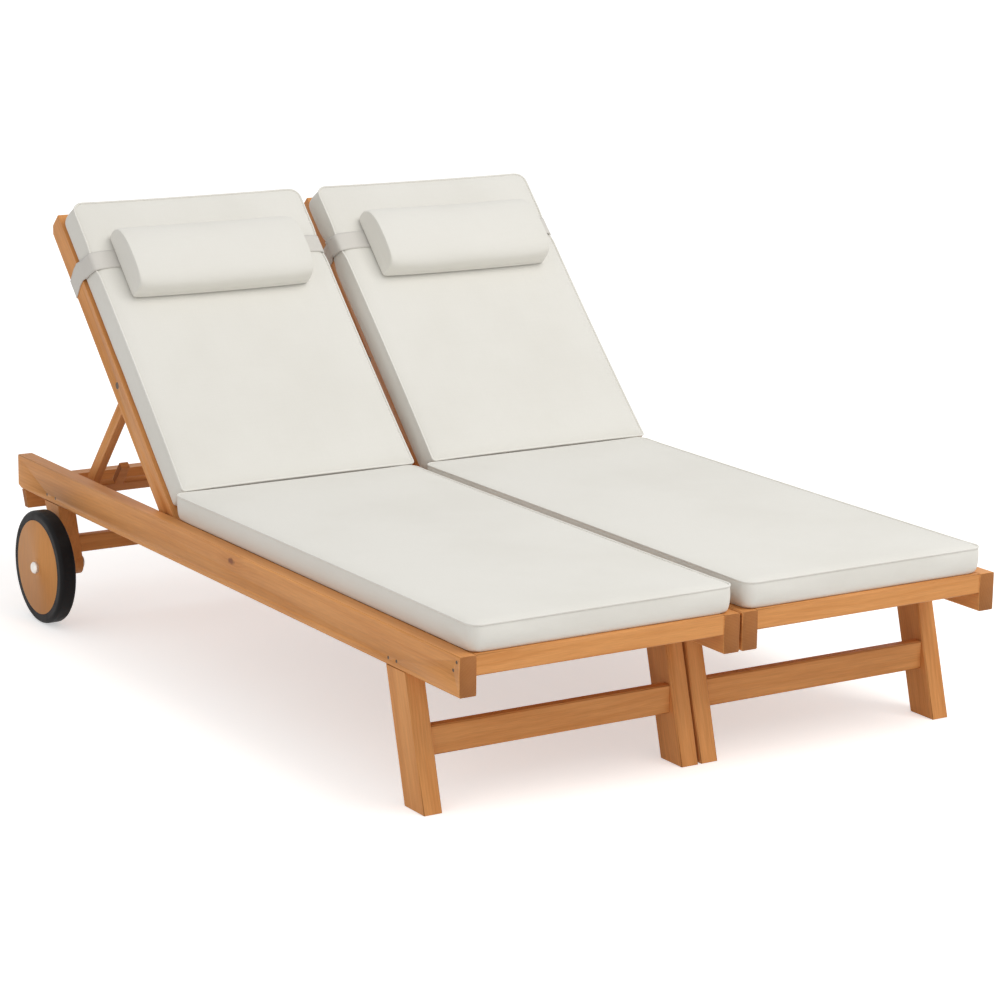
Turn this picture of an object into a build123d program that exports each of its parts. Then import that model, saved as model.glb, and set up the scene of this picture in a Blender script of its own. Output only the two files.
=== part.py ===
from build123d import *
from math import cos, radians, sin, tan
import os

# Double chaise lounger: two wooden sun loungers bolted side by side, with two outer wheels at the head end,
# a backrest on each with its own prop, box cushions and a strapped head pillow.
# Millimetres. X runs across the pair, Y from the foot end (negative) to the head end, Z up from the ground.
# The origin is on the ground at the middle of the frame.

# Driving sizes of the frames
frame_length = 2000
frame_width = 645
frame_gap = 6
rail_top = 346
rail_height = 80
rail_thickness = 38
rail_tail_cut_length = 20
rail_tail_cut_height = 8
eased_edge = 2.5
cut_overrun = 5
tenon_length = 12
tenon_shoulder = 6

# Foot rail, the short board between the side rails at the foot end
foot_rail_height = 42
foot_rail_thickness = 28
foot_rail_setback = 1

# Tail board, which hangs below the rails at the head end and catches the backrest when it lies flat
tail_board_thickness = 38
tail_board_drop = 44
tail_board_rake = 7
tail_board_end_length = 60
tail_board_relief = 20
flat_rest_clearance = 0.5

# Front legs, raked towards the foot end and half lapped into the rails
front_foot_place = 122
front_leg_depth = 76
front_leg_thickness = 42
front_leg_rake = 15.5
lap_skin = 19
lap_reveal = 15
front_stretcher_low = 101
front_stretcher_height = 60
front_stretcher_thickness = 25
front_stretcher_setback = 12

# Wheels and the stub axles through the outer rear legs
axle_head_reach = 242
wheel_radius = 131.5
wheel_width = 40
wheel_outer_reach = 63
tyre_depth = 22
tyre_shoulder = 9
axle_radius = 8
axle_head_radius = 14
axle_head_height = 8
running_clearance = 0.1
hub_radius = 27
hub_face_radius = 20
hub_face_rise = 2
hub_cap_radius = 14
hub_cap_height = 11
hub_cap_wall = 4
hub_cap_play = 0.5
washer_radius = 18
washer_thickness = 2.4
washer_play = 0.3

# Rear legs: the outer ones end round at the stub axles, the inner ones stand on the ground
rear_leg_thickness = 42
rear_leg_head_reach = 224
rear_leg_top_width = 76
rear_leg_foot_radius = 26
rear_stretcher_height = 40
rear_stretcher_thickness = 26
rear_stretcher_low = 156
rear_stretcher_inset = 18

# Seat slats on cleats, and the end rail by the backrest hinge
slat_thickness = 15
slat_width = 62
slat_gap = 24
slat_end_play = 1
slat_start_gap = 4
cleat_width = 24
cleat_height = 25
end_rail_thickness = 26
end_rail_height = 66
end_rail_hinge_gap = 7

# Backrest, which turns about a bolt in each side rail
hinge_share = 0.636
backrest_angle = 45.5
stile_depth = 54
stile_thickness = 30
stile_length = 836
stile_end_cut = 14
stile_gap = 3
back_slat_thickness = 13
back_slat_start = 34
top_rail_width = 32
top_rail_depth = 34

# Prop, a hinged frame behind the backrest whose foot bar stands on two notched racks
prop_pivot_reach = 377
prop_length = 376
prop_angle = 50
strut_depth = 28
strut_thickness = 20
strut_gap = 1.5
foot_bar_depth = 33
foot_bar_height = 16
foot_bar_round = 3
foot_bar_tenon_depth = 16
foot_bar_tenon_height = 12
bar_peg_length = 58
bar_peg_width = 22
bar_peg_depth = 16
bar_peg_inset = 46
rack_thickness = 22
rack_height = 32
rack_gap = 2.5
rack_tip_clearance = 0.4
path_steps = 60
notch_count = 5
notch_width = 28
notch_depth = 11
notch_pitch = 42
notch_corner_radius = 6

# Bolts and screws
hinge_bolt_radius = 6
hinge_head_radius = 10
hinge_head_height = 6
hinge_bolt_bite = 25
pivot_bolt_radius = 4
pivot_head_radius = 8
pivot_head_height = 4
pivot_nut_height = 6
joining_bolt_radius = 5
joining_head_radius = 9
joining_head_height = 5
joining_spacer_radius = 12
joining_bolt_rise = 12
joining_bolt_shares = (0.21, 0.57, 0.8)
screw_radius = 3.5
screw_length = 30
screw_edge_inset = 15

# Cushions, pillows and straps
cushion_outer_inset = 24
cushion_inner_inset = 11
cushion_thickness = 58
cushion_corner_radius = 26
cushion_front_setback = 3
cushion_meeting_play = 0.6
back_cushion_top_gap = 14
back_cushion_lift = 0.4
bottom_draw = 12
back_bottom_draw = 30
side_draw = 2
crown_edge = 26
crown_reach = 105
bottom_draw_share = 0.18
side_full_share = 0.5
seam_share = 0.83
crown_edge_share = 0.955
pillow_width = 450
pillow_height = 176
pillow_thickness = 72
pillow_top_gap = 113
pillow_shift = 9
pillow_end_round = 12
pillow_end_share = 0.9
pillow_middle_share = 0.45
pillow_section_shares = (
    (0.03, 0), (0, 0.12), (0, 0.6), (0.05, 0.8), (0.17, 0.94), (0.4, 1),
    (0.64, 0.96), (0.82, 0.82), (0.94, 0.58), (1, 0.26), (0.98, 0))
strap_width = 48
strap_thickness = 1.8
strap_play = 0.35
strap_rise = 91
strap_end_gap = 2

# Places worked out from the driving sizes
foot_end = -frame_length / 2
head_end = frame_length / 2
rail_bottom = rail_top - rail_height
inner_width = frame_width - 2 * rail_thickness
lounger_centre = (frame_gap + frame_width) / 2
hinge_y = foot_end + frame_length * hinge_share
hinge_z = rail_top - stile_depth / 2
axle_y = head_end - axle_head_reach
axle_z = wheel_radius
slat_bottom = rail_top - slat_thickness
tail_board_top = rail_top - stile_depth - flat_rest_clearance
tail_board_face = head_end - tail_board_thickness
end_rail_back = hinge_y - stile_depth / 2 - end_rail_hinge_gap
stile_outer = inner_width / 2 - stile_gap
stile_inner = stile_outer - stile_thickness
strut_outer = stile_inner - strut_gap
strut_inner = strut_outer - strut_thickness
rack_outer = strut_inner - rack_gap
rack_inner = rack_outer - rack_thickness
back_face = stile_depth / 2 + back_cushion_lift + cushion_thickness

backrest_place = Pos(0, hinge_y, hinge_z) * Rot(backrest_angle, 0, 0)
prop_pivot = backrest_place * Pos(0, prop_pivot_reach, 0)
prop_place = Pos(*prop_pivot.position) * Rot(-prop_angle, 0, 0)


def block(x_span, y_span, z_span):
    """A rectangular block between two places along each axis."""
    x, y, z = (sum(span) / 2 for span in (x_span, y_span, z_span))
    return Pos(x, y, z) * Box(*(max(span) - min(span) for span in (x_span, y_span, z_span)))


def board(x_span, y_span, z_span):
    """A planed board, with its long edges eased."""
    piece = block(x_span, y_span, z_span)
    spans = [max(span) - min(span) for span in (x_span, y_span, z_span)]
    grain = (Axis.X, Axis.Y, Axis.Z)[spans.index(max(spans))]
    return chamfer(piece.edges().filter_by(grain), eased_edge)


def side_profile(points, x_span):
    """A board cut to an outline of (y, z) points and as thick as the span in X."""
    outline = make_face(Polyline(*[(0, y, z) for y, z in points], close=True))
    return Pos(min(x_span), 0, 0) * extrude(outline, max(x_span) - min(x_span), dir=(1, 0, 0))


def rod(radius, x_span, y, z):
    """A round bar along X."""
    return Pos(sum(x_span) / 2, y, z) * Rot(0, 90, 0) * Cylinder(radius, max(x_span) - min(x_span))


def tenons(x_span, y_span, z_span):
    """The tenons at both ends of a cross rail, which are also the shapes of their mortises."""
    y_cut = (min(y_span) + tenon_shoulder, max(y_span) - tenon_shoulder)
    z_cut = (min(z_span) + tenon_shoulder, max(z_span) - tenon_shoulder)
    left = block((min(x_span) - tenon_length, min(x_span)), y_cut, z_cut)
    right = block((max(x_span), max(x_span) + tenon_length), y_cut, z_cut)
    return left + right


def cross_rail(x_span, y_span, z_span):
    """A cross rail with a tenon at each end."""
    return board(x_span, y_span, z_span) + tenons(x_span, y_span, z_span)


def rows(first, last, width, gap):
    """Starts of equal slats between two places, with their gaps evened out."""
    count = max(2, int((last - first + gap) / (width + gap)))
    pitch = (last - first - width) / (count - 1)
    return [first + index * pitch for index in range(count)]


def drawn_loft(length, width, radius, levels):
    """A stuffed box form: rounded outlines drawn in by an inset at each height."""
    outlines = []
    for height, inset in levels:
        corner = max(radius - inset / 3, radius / 2)
        outlines.append(Pos(0, 0, height) * RectangleRounded(width - 2 * inset, length - 2 * inset, corner))
    return loft(outlines, ruled=True)


# Spans used by several pieces of one lounger, about its own middle plane
outer_half = frame_width / 2
inner_half = inner_width / 2
between_rails = (-inner_half, inner_half)
foot_rail_y = (foot_end + foot_rail_setback, foot_end + foot_rail_setback + foot_rail_thickness)
foot_rail_z = (rail_top - foot_rail_height, rail_top)
end_rail_y = (end_rail_back - end_rail_thickness, end_rail_back)
end_rail_z = (slat_bottom - end_rail_height, slat_bottom)


def raked(z):
    """How far the front leg leans back at a height."""
    return z * tan(radians(front_leg_rake))


def front_leg_outline(low, high):
    """The raked side view of a front leg between two heights."""
    front = foot_end + front_foot_place
    back = front + front_leg_depth
    foot = [(front + raked(low), low), (back + raked(low), low)]
    head = [(back + raked(high), high), (front + raked(high), high)]
    return foot + head


def front_leg(side):
    """A front leg with the tongue that fills the lap in the inside of its rail."""
    skin = side * outer_half
    post = side_profile(front_leg_outline(0, rail_bottom), (skin, skin - side * front_leg_thickness))
    long_edges = post.edges().filter_by(Axis.X, reverse=True).filter_by(GeomType.LINE)
    upright = long_edges.filter_by(lambda edge: abs(edge.tangent_at(0.5).Z) > abs(edge.tangent_at(0.5).Y))
    post = chamfer(upright, eased_edge)
    return post + front_tongue(side)


def front_tongue(side):
    outline = front_leg_outline(rail_bottom, rail_top - lap_reveal)
    return side_profile(outline, (side * (outer_half - lap_skin), side * inner_half))


front_stretcher_z = (front_stretcher_low, front_stretcher_low + front_stretcher_height)
front_stretcher_lean = raked(sum(front_stretcher_z) / 2)
front_stretcher_front = foot_end + front_foot_place + front_stretcher_lean + front_stretcher_setback
front_stretcher_y = (front_stretcher_front, front_stretcher_front + front_stretcher_thickness)
front_stretcher_x = (-outer_half + front_leg_thickness, outer_half - front_leg_thickness)

rear_top = (head_end - rear_leg_head_reach, head_end - rear_leg_head_reach + rear_leg_top_width)
rear_stretcher_front = axle_y - rear_leg_foot_radius + rear_stretcher_inset
rear_stretcher_y = (rear_stretcher_front, rear_stretcher_front + rear_stretcher_thickness)
rear_stretcher_z = (rear_stretcher_low, rear_stretcher_low + rear_stretcher_height)
rear_stretcher_x = (-outer_half + rear_leg_thickness, outer_half - rear_leg_thickness)


def rear_tongue(side):
    x_span = (side * (outer_half - lap_skin), side * inner_half)
    return block(x_span, rear_top, (rail_bottom, rail_top - lap_reveal))


def rear_leg(side, carries_wheel):
    """A tapered leg with a tongue lapped into the rail, which ends at an axle or on the ground."""
    skin = side * outer_half
    x_span = (skin, skin - side * rear_leg_thickness)
    foot_z = axle_z if carries_wheel else 0
    leg = side_profile(
        [(rear_top[0], rail_bottom), (axle_y - rear_leg_foot_radius, foot_z),
         (axle_y + rear_leg_foot_radius, foot_z), (rear_top[1], rail_bottom)], x_span)
    leg = leg + rear_tongue(side)
    if carries_wheel:
        leg = leg + rod(rear_leg_foot_radius, x_span, axle_y, axle_z)
        leg = leg - rod(axle_radius, x_span, axle_y, axle_z)
    return leg


def tail_board():
    """A board between the rails whose lower part runs on under them, cut away below between its ends."""
    upper = block(between_rails, (tail_board_face, head_end), (rail_bottom, tail_board_top))
    low = rail_bottom - tail_board_drop
    full_end = outer_half - tail_board_end_length
    half_outline = [(outer_half, rail_bottom), (outer_half - tail_board_rake, low), (full_end, low),
                    (full_end - tail_board_relief, low + tail_board_relief)]
    outline = half_outline + [(-x, z) for x, z in reversed(half_outline)]
    face = make_face(Polyline(*[(x, tail_board_face, z) for x, z in outline], close=True))
    lower = extrude(face, tail_board_thickness - rail_tail_cut_length, dir=(0, 1, 0))
    return upper + lower


def screw_places(side):
    """Middles of the screws driven through one side rail."""
    z_low = rail_bottom + screw_edge_inset
    lean = raked(z_low)
    front = foot_end + front_foot_place + lean
    places = [(front + screw_edge_inset * 2, z_low), (front + front_leg_depth - screw_edge_inset, z_low)]
    places += [(foot_rail_y[0] + foot_rail_thickness / 3, foot_rail_z[1] - tenon_shoulder * 2),
               (foot_rail_y[1] - foot_rail_thickness / 4, foot_rail_z[0] + tenon_shoulder * 2)]
    places += [(rear_top[0] + screw_edge_inset, z_low), (rear_top[1] - screw_edge_inset, z_low)]
    return [(side * outer_half, side * (outer_half - screw_length), y, z) for y, z in places]


def screws(side):
    return [rod(screw_radius, (outer, inner), y, z) for outer, inner, y, z in screw_places(side)]


def side_rail(side):
    """A side rail with its laps, mortises and bolt hole cut, and its lower corner cut off at the head end."""
    x_span = (side * inner_half, side * outer_half)
    rail = board(x_span, (foot_end, head_end), (rail_bottom, rail_top))
    corner = [(head_end - rail_tail_cut_length, rail_bottom), (head_end, rail_bottom + rail_tail_cut_height),
              (head_end + cut_overrun, rail_bottom + rail_tail_cut_height),
              (head_end + cut_overrun, rail_bottom - cut_overrun),
              (head_end - rail_tail_cut_length, rail_bottom - cut_overrun)]
    rail = rail - side_profile(corner, x_span)
    rail = rail - front_tongue(side) - rear_tongue(side)
    rail = rail - tenons(between_rails, foot_rail_y, foot_rail_z)
    rail = rail - tenons(between_rails, end_rail_y, end_rail_z)
    bolt_hole = (side * inner_half, side * (inner_half + hinge_bolt_bite))
    return rail - rod(hinge_bolt_radius, bolt_hole, hinge_y, hinge_z)


def seat_slats():
    starts = rows(foot_rail_y[1] + slat_start_gap, end_rail_back, slat_width, slat_gap)
    width = (-inner_half + slat_end_play, inner_half - slat_end_play)
    return [board(width, (start, start + slat_width), (slat_bottom, rail_top)) for start in starts]


def seat_cleats():
    y_span = (foot_rail_y[1], end_rail_y[0])
    z_span = (slat_bottom - cleat_height, slat_bottom)
    return [board((side * inner_half, side * (inner_half - cleat_width)), y_span, z_span) for side in (-1, 1)]


def cushion_levels(top, draw):
    """Heights and insets of a box cushion: drawn in at the bottom, straight sides, seam and crown."""
    return [(0, draw), (top * bottom_draw_share, side_draw), (top * side_full_share, 0),
            (top * seam_share, side_draw), (top * crown_edge_share, crown_edge), (top, crown_reach)]


cushion_width = frame_width - cushion_outer_inset - cushion_inner_inset
cushion_shift = (cushion_outer_inset - cushion_inner_inset) / 2
meeting = back_face * tan(radians(backrest_angle / 2))
seat_cushion_y = (foot_end + cushion_front_setback, hinge_y - meeting - cushion_meeting_play / 2)
back_cushion_s = (meeting + cushion_meeting_play / 2, stile_length - back_cushion_top_gap)


def seat_cushion(hand):
    """The cushion of one seat, which lies a little towards the other lounger."""
    length = seat_cushion_y[1] - seat_cushion_y[0]
    levels = cushion_levels(cushion_thickness, bottom_draw)
    form = drawn_loft(length, cushion_width, cushion_corner_radius, levels)
    return Pos(-hand * cushion_shift, sum(seat_cushion_y) / 2, rail_top) * form


def back_cushion(hand):
    """The cushion of one backrest, drawn in further below, where the strap passes."""
    length = back_cushion_s[1] - back_cushion_s[0]
    levels = cushion_levels(cushion_thickness, back_bottom_draw)
    form = drawn_loft(length, cushion_width, cushion_corner_radius, levels)
    return Pos(-hand * cushion_shift, sum(back_cushion_s) / 2, stile_depth / 2 + back_cushion_lift) * form


pillow_low_edge = stile_length - pillow_top_gap - pillow_height
pillow_back = back_face + strap_thickness + 2 * strap_play


def pillow_section(x, share):
    """The pillow's section at a place across it: flat behind, square below and rounded over the top."""
    middle = pillow_low_edge + pillow_height / 2
    points = []
    for along, out in pillow_section_shares:
        y = middle + pillow_height * (along - 1 / 2) * share
        z = pillow_back + pillow_thickness * (pillow_middle_share + (out - pillow_middle_share) * share)
        points.append((x, y, z))
    return make_face(Polyline(*points, close=True))


def head_pillow():
    """A stuffed bolster with drawn in, nearly flat ends, a little to the right of the middle."""
    half = pillow_width / 2
    sections = [pillow_section(-half, pillow_end_share), pillow_section(-half + pillow_end_round, 1),
                pillow_section(half - pillow_end_round, 1), pillow_section(half, pillow_end_share)]
    return Pos(pillow_shift, 0, 0) * loft(sections, ruled=True)


strap_low_edge = pillow_low_edge + strap_rise


def strap_line(side, hand):
    """Points of the strap's inside, up one stile and over that edge of the cushion."""
    base = stile_depth / 2 + back_cushion_lift
    half = cushion_width / 2 - side * hand * cushion_shift
    line = [(side * stile_outer, -stile_depth / 2), (side * stile_outer, stile_depth / 2)]
    for height, inset in cushion_levels(cushion_thickness, back_bottom_draw):
        line.append((side * max(half - inset, stile_outer if height == 0 else 0), base + height))
    return line


def pillow_strap(hand):
    """A band over the back cushion, with its ends fixed behind the stiles."""
    points = strap_line(1, hand) + strap_line(-1, hand)[::-1]
    core = make_face(Polyline(*[(x, 0, z) for x, z in points], close=True))
    inner = offset(core, strap_play, kind=Kind.INTERSECTION)
    outer = offset(core, strap_play + strap_thickness, kind=Kind.INTERSECTION)
    band = extrude(outer - inner, strap_width, dir=(0, 1, 0))
    end = stile_inner + strap_end_gap
    behind = (-stile_depth / 2 - strap_thickness - cut_overrun, -stile_depth / 2)
    return Pos(0, strap_low_edge, 0) * (band - block((-end, end), (0, strap_width), behind))


def back_slat_spans():
    last = stile_length - top_rail_width - slat_gap
    return [(start, start + slat_width) for start in rows(back_slat_start, last, slat_width, slat_gap)]


def back_slats():
    """Backrest slats, let into the stiles and flush with their front."""
    x_span = (-stile_inner - tenon_length, stile_inner + tenon_length)
    z_span = (stile_depth / 2 - back_slat_thickness, stile_depth / 2)
    return [block(x_span, span, z_span) for span in back_slat_spans()]


top_rail_s = (stile_length - top_rail_width, stile_length)
top_rail_h = (stile_depth / 2 - top_rail_depth, stile_depth / 2)


def stile(side):
    """A backrest stile, round about its hinge bolt and cut off at a slant behind its top end."""
    half = stile_depth / 2
    outline = [(0, -half), (stile_length - stile_end_cut, -half), (stile_length, -half + stile_end_cut),
               (stile_length, half), (0, half)]
    x_span = (side * stile_inner, side * stile_outer)
    piece = side_profile(outline, x_span) + rod(half, x_span, 0, 0)
    for slat in back_slats():
        piece = piece - slat
    piece = piece - tenons((-stile_inner, stile_inner), top_rail_s, top_rail_h)
    piece = piece - rod(hinge_bolt_radius + running_clearance, x_span, 0, 0)
    piece = piece - rod(pivot_bolt_radius, x_span, prop_pivot_reach, 0)
    head = (side * stile_outer, side * (stile_outer - pivot_head_height))
    return piece - rod(pivot_head_radius, head, prop_pivot_reach, 0)


def hinge_bolt(side):
    """A shouldered bolt through the stile into the rail, with a washer between them."""
    head = (side * (stile_inner - washer_play), side * (stile_inner - washer_play - hinge_head_height))
    shank = (side * (stile_inner - washer_play), side * (inner_half + hinge_bolt_bite))
    washer = (side * (stile_outer + washer_play), side * inner_half)
    bolt = rod(hinge_head_radius, head, 0, 0) + rod(hinge_bolt_radius, shank, 0, 0)
    return bolt + rod(hinge_head_radius, washer, 0, 0)


def pivot_bolt(side):
    """The bolt that the strut turns on, sunk flush in the stile, with its nut inside the strut."""
    head = (side * stile_outer, side * (stile_outer - pivot_head_height))
    shank = (side * (stile_outer - pivot_head_height), side * (strut_inner - washer_play))
    nut = (side * (strut_inner - washer_play), side * (strut_inner - washer_play - pivot_nut_height))
    collar = (side * stile_inner, side * (strut_outer + washer_play))
    bolt = rod(pivot_bolt_radius, shank, prop_pivot_reach, 0)
    for span in (head, nut, collar):
        bolt = bolt + rod(pivot_head_radius, span, prop_pivot_reach, 0)
    return bolt


def foot_bar_tenon(side):
    centre = Pos(side * (strut_inner + strut_outer) / 2, prop_length, 0)
    return centre * Box(strut_thickness, foot_bar_tenon_depth, foot_bar_tenon_height)


def strut(side):
    """One arm of the prop, round at both ends."""
    x_span = (side * strut_inner, side * strut_outer)
    arm = block(x_span, (0, prop_length), (-strut_depth / 2, strut_depth / 2))
    arm = arm + rod(strut_depth / 2, x_span, 0, 0) + rod(strut_depth / 2, x_span, prop_length, 0)
    return arm - rod(pivot_bolt_radius + running_clearance, x_span, 0, 0) - foot_bar_tenon(side)


def foot_bar():
    """The bar across the feet of the prop, tenoned through both arms, with two pegs glued into it."""
    bar = Pos(0, prop_length, 0) * Box(2 * strut_inner, foot_bar_depth, foot_bar_height)
    bar = fillet(bar.edges().filter_by(Axis.X), foot_bar_round)
    for side in (-1, 1):
        x = side * (strut_inner - bar_peg_inset)
        peg_span = (prop_length - foot_bar_depth / 2 - bar_peg_length, prop_length)
        peg = block((x, x - side * bar_peg_width), peg_span, (-bar_peg_depth / 2, bar_peg_depth / 2))
        bar = bar + foot_bar_tenon(side) + peg
    return bar


def bar_drop(turn):
    """How far the foot bar reaches below its own middle when the prop slopes by an angle."""
    along = (foot_bar_depth / 2 - foot_bar_round) * sin(radians(turn))
    across = (foot_bar_height / 2 - foot_bar_round) * cos(radians(turn))
    return along + across + foot_bar_round


def bar_path(steps):
    """Middle of the foot bar and its underside while the backrest goes down, as the prop follows it."""
    path = []
    for step in range(steps + 1):
        tilt = radians(backrest_angle * (1 - step / steps))
        slope = radians(prop_angle * (1 - step / steps))
        y = hinge_y + prop_pivot_reach * cos(tilt) + prop_length * cos(slope)
        z = hinge_z + prop_pivot_reach * sin(tilt) - prop_length * sin(slope)
        path.append((y, z - bar_drop(prop_angle * (1 - step / steps))))
    return path


bar_places = bar_path(path_steps)
rack_top = min(low for _, low in bar_places) - rack_tip_clearance
rest_bar_y = bar_places[0][0]


def prop_rack(side):
    """A long bar with round-bottomed notches that the foot bar stands in."""
    x_span = (side * rack_inner, side * rack_outer)
    rack = block(x_span, (end_rail_back, tail_board_face), (rack_top - rack_height, rack_top))
    z_span = (rack_top - notch_depth, rack_top + cut_overrun)
    for index in range(notch_count):
        middle = rest_bar_y + (index - 1) * notch_pitch
        notch = block(x_span, (middle - notch_width / 2, middle + notch_width / 2), z_span)
        floor = notch.edges().filter_by(Axis.X).sort_by(Axis.Z)[:2]
        rack = rack - fillet(floor, notch_corner_radius)
    return rack


def wheel_disc(side):
    """The wooden wheel: a plain disc with a boss that keeps it off the leg."""
    outer = side * (lounger_centre + outer_half + wheel_outer_reach)
    inner = outer - side * wheel_width
    boss_end = side * (lounger_centre + outer_half + washer_thickness + 2 * washer_play)
    face = outer + side * hub_face_rise
    disc = rod(wheel_radius - tyre_depth, (outer, inner), axle_y, axle_z)
    disc = disc + rod(hub_radius, (inner, boss_end), axle_y, axle_z)
    disc = disc + rod(hub_face_radius, (outer, face), axle_y, axle_z)
    return disc - rod(axle_radius + running_clearance, (face, boss_end), axle_y, axle_z)


def tyre(side):
    """A solid rubber tyre with rounded shoulders, stretched over the disc."""
    outer = lounger_centre + outer_half + wheel_outer_reach
    inner = outer - wheel_width
    inside = wheel_radius - tyre_depth
    points = [(inner, inside), (outer, inside), (outer, wheel_radius - tyre_shoulder)]
    rise = Line(points[1], points[2])
    shoulder_out = CenterArc((outer - tyre_shoulder, wheel_radius - tyre_shoulder), tyre_shoulder, 0, 90)
    tread = Line((outer - tyre_shoulder, wheel_radius), (inner + tyre_shoulder, wheel_radius))
    shoulder_in = CenterArc((inner + tyre_shoulder, wheel_radius - tyre_shoulder), tyre_shoulder, 90, 90)
    fall = Line((inner, wheel_radius - tyre_shoulder), points[0])
    base = Line(points[0], points[1])
    profile = make_face([base, rise, shoulder_out, tread, shoulder_in, fall])
    ring = revolve(profile, Axis.X)
    if side < 0:
        ring = mirror(ring, Plane.YZ)
    return Pos(0, axle_y, axle_z) * ring


axle_reach = lounger_centre + outer_half + wheel_outer_reach + hub_cap_height - hub_cap_wall


def hub_cap(side):
    """A domed push-on cap over the end of the axle."""
    base = side * (lounger_centre + outer_half + wheel_outer_reach + hub_face_rise + hub_cap_play)
    cap = rod(hub_cap_radius, (base, base + side * hub_cap_height), axle_y, axle_z)
    rim = cap.edges().filter_by(GeomType.CIRCLE).sort_by(Axis.X)[-1 if side > 0 else 0]
    cap = fillet(rim, hub_cap_height - hub_cap_wall)
    return cap - rod(axle_radius, (base, side * axle_reach), axle_y, axle_z)


def stub_axle(side):
    """A bolt through an outer rear leg that a wheel runs on, with its head on the inside of the leg."""
    inside = side * (lounger_centre + outer_half - rear_leg_thickness)
    head = rod(axle_head_radius, (inside, inside - side * axle_head_height), axle_y, axle_z)
    return head + rod(axle_radius, (inside, side * axle_reach), axle_y, axle_z)


def axle_washer(side):
    start = side * (lounger_centre + outer_half)
    span = (start, start + side * washer_thickness)
    return rod(washer_radius, span, axle_y, axle_z) - rod(axle_radius, span, axle_y, axle_z)


def joining_bolts():
    """Bolts with spacers that hold the two inner rails together."""
    pieces = []
    outer_nut = frame_gap / 2 + rail_thickness
    z = rail_bottom + joining_bolt_rise
    for share in joining_bolt_shares:
        y = foot_end + frame_length * share
        bolt = rod(joining_bolt_radius, (-outer_nut, outer_nut), y, z)
        for side in (-1, 1):
            head = (side * outer_nut, side * (outer_nut + joining_head_height))
            bolt = bolt + rod(joining_head_radius, head, y, z)
        spacer = rod(joining_spacer_radius, (-frame_gap / 2, frame_gap / 2), y, z)
        pieces += [bolt, spacer - rod(joining_bolt_radius, (-frame_gap / 2, frame_gap / 2), y, z)]
    return pieces


nodes = {}


def add(name, *pieces):
    """Keep one node, a single piece or a group of separate like pieces."""
    nodes[name] = Compound(label=name, children=list(pieces)) if len(pieces) > 1 else pieces[0]


shared_screws = []
shared_hinge_bolts = []

for lounger, hand in (("left", -1), ("right", 1)):
    place = Pos(hand * lounger_centre, 0, 0)
    on_backrest = place * backrest_place
    on_prop = place * prop_place
    for part_side, side in (("outer", hand), ("inner", -hand)):
        rail = side_rail(side)
        for screw in screws(side):
            rail = rail - screw
            shared_screws.append(place * screw)
        if part_side == "inner":
            for bolt in joining_bolts():
                rail = rail - Pos(-hand * lounger_centre, 0, 0) * bolt
        leg = front_leg(side) - tenons(front_stretcher_x, front_stretcher_y, front_stretcher_z)
        cheek = rear_leg(side, part_side == "outer")
        cheek = cheek - tenons(rear_stretcher_x, rear_stretcher_y, rear_stretcher_z)
        for screw in screws(side):
            leg = leg - screw
            cheek = cheek - screw
        add(f"{lounger}_{part_side}_rail", place * rail)
        add(f"{lounger}_{part_side}_front_leg", place * leg)
        add(f"{lounger}_{part_side}_rear_leg", place * cheek)
        add(f"{lounger}_{part_side}_stile", on_backrest * stile(side))
        shared_hinge_bolts.append(place * Pos(0, hinge_y, hinge_z) * hinge_bolt(side))
    foot_rail = cross_rail(between_rails, foot_rail_y, foot_rail_z)
    for side in (-1, 1):
        for screw in screws(side):
            foot_rail = foot_rail - screw
    add(f"{lounger}_foot_rail", place * foot_rail)
    add(f"{lounger}_seat_end_rail", place * cross_rail(between_rails, end_rail_y, end_rail_z))
    add(f"{lounger}_tail_board", place * tail_board())
    front_stretcher = cross_rail(front_stretcher_x, front_stretcher_y, front_stretcher_z)
    rear_stretcher = cross_rail(rear_stretcher_x, rear_stretcher_y, rear_stretcher_z)
    add(f"{lounger}_front_stretcher", place * front_stretcher)
    add(f"{lounger}_rear_stretcher", place * rear_stretcher)
    add(f"{lounger}_seat_cleats", *[place * piece for piece in seat_cleats()])
    add(f"{lounger}_seat_slats", *[place * piece for piece in seat_slats()])
    add(f"{lounger}_prop_racks", *[place * prop_rack(side) for side in (-1, 1)])
    add(f"{lounger}_seat_cushion", place * seat_cushion(hand))
    top_rail = cross_rail((-stile_inner, stile_inner), top_rail_s, top_rail_h)
    add(f"{lounger}_backrest_top_rail", on_backrest * top_rail)
    add(f"{lounger}_backrest_slats", *[on_backrest * piece for piece in back_slats()])
    add(f"{lounger}_back_cushion", on_backrest * back_cushion(hand))
    add(f"{lounger}_head_pillow", on_backrest * head_pillow())
    add(f"{lounger}_pillow_strap", on_backrest * pillow_strap(hand))
    add(f"{lounger}_prop_pivot_bolts", *[on_backrest * pivot_bolt(side) for side in (-1, 1)])
    add(f"{lounger}_prop_struts", *[on_prop * strut(side) for side in (-1, 1)])
    add(f"{lounger}_prop_foot_bar", on_prop * foot_bar())
    add(f"{lounger}_wheel_disc", wheel_disc(hand))
    add(f"{lounger}_tyre", tyre(hand))

add("backrest_hinge_bolts", *shared_hinge_bolts)
add("frame_screws", *shared_screws)
add("joining_bolts", *joining_bolts())
add("stub_axles", stub_axle(-1), stub_axle(1))
add("axle_washers", axle_washer(-1), axle_washer(1))
add("hub_caps", hub_cap(-1), hub_cap(1))

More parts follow.
